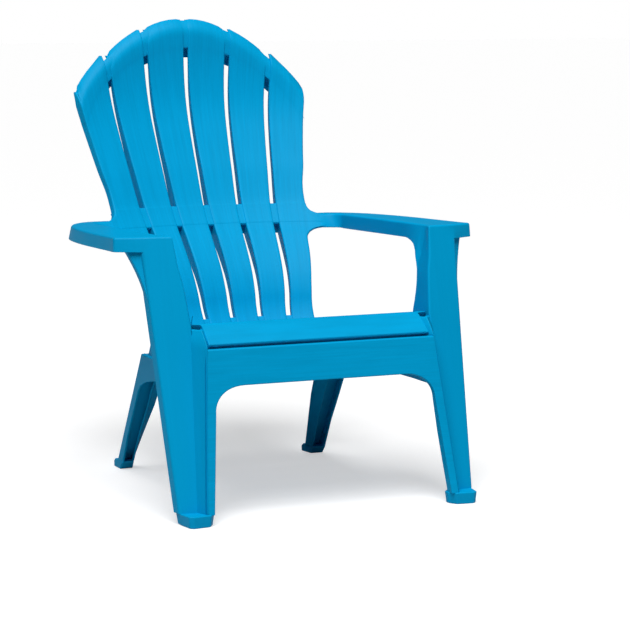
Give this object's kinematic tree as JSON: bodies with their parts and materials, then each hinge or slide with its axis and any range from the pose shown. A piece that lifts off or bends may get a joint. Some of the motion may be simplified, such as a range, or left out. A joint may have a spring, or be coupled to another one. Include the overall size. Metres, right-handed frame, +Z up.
{
  "type": "adirondack chair",
  "caption": "Moulded resin adirondack chair with a fanned, arched slat back, wide flat arms, a rounded seat lip and stackable open legs.",
  "frame": {"origin": "on the floor, under the middle of the chair's overall box", "axes": "+Z up, the sitter looks along -Y, the sitter's left is +X"},
  "size_m": [0.756, 0.843, 0.9377],
  "materials": {
    "grained_resin": "satin pool-blue resin moulded with fine wood grain",
    "smooth_resin": "satin pool-blue resin, smooth"
  },
  "bodies": {
    "root": {"crown_rail": "grained_resin", "waist_band": "grained_resin", "back_seat_rail": "grained_resin", "seat_front_slat": "grained_resin", "apron": "grained_resin", "back_slat_1": "grained_resin", "back_slat_2": "grained_resin", "back_slat_3": "grained_resin", "back_slat_4": "grained_resin", "back_slat_5": "grained_resin", "back_slat_6": "grained_resin", "lumbar_slat_1": "grained_resin", "lumbar_slat_2": "grained_resin", "lumbar_slat_3": "grained_resin", "lumbar_slat_4": "grained_resin", "lumbar_slat_5": "grained_resin", "lumbar_slat_6": "grained_resin", "seat_slat_1": "grained_resin", "seat_slat_2": "grained_resin", "seat_slat_3": "grained_resin", "seat_slat_4": "grained_resin", "arm_left": "grained_resin", "arm_right": "grained_resin", "front_leg_face_left": "smooth_resin", "front_leg_face_right": "smooth_resin", "front_leg_flange_left": "smooth_resin", "front_leg_flange_right": "smooth_resin", "front_leg_inner_left": "smooth_resin", "front_leg_inner_right": "smooth_resin", "leg_strip_left": "smooth_resin", "leg_strip_right": "smooth_resin", "front_foot_left": "smooth_resin", "front_foot_right": "smooth_resin", "side_rail_left": "smooth_resin", "side_rail_right": "smooth_resin", "seat_side_left": "smooth_resin", "seat_side_right": "smooth_resin", "rear_leg_outer_left": "smooth_resin", "rear_leg_outer_right": "smooth_resin", "rear_leg_back_left": "smooth_resin", "rear_leg_back_right": "smooth_resin", "rear_leg_inner_left": "smooth_resin", "rear_leg_inner_right": "smooth_resin", "rear_foot_left": "smooth_resin", "rear_foot_right": "smooth_resin"}
  },
  "joints": []
}
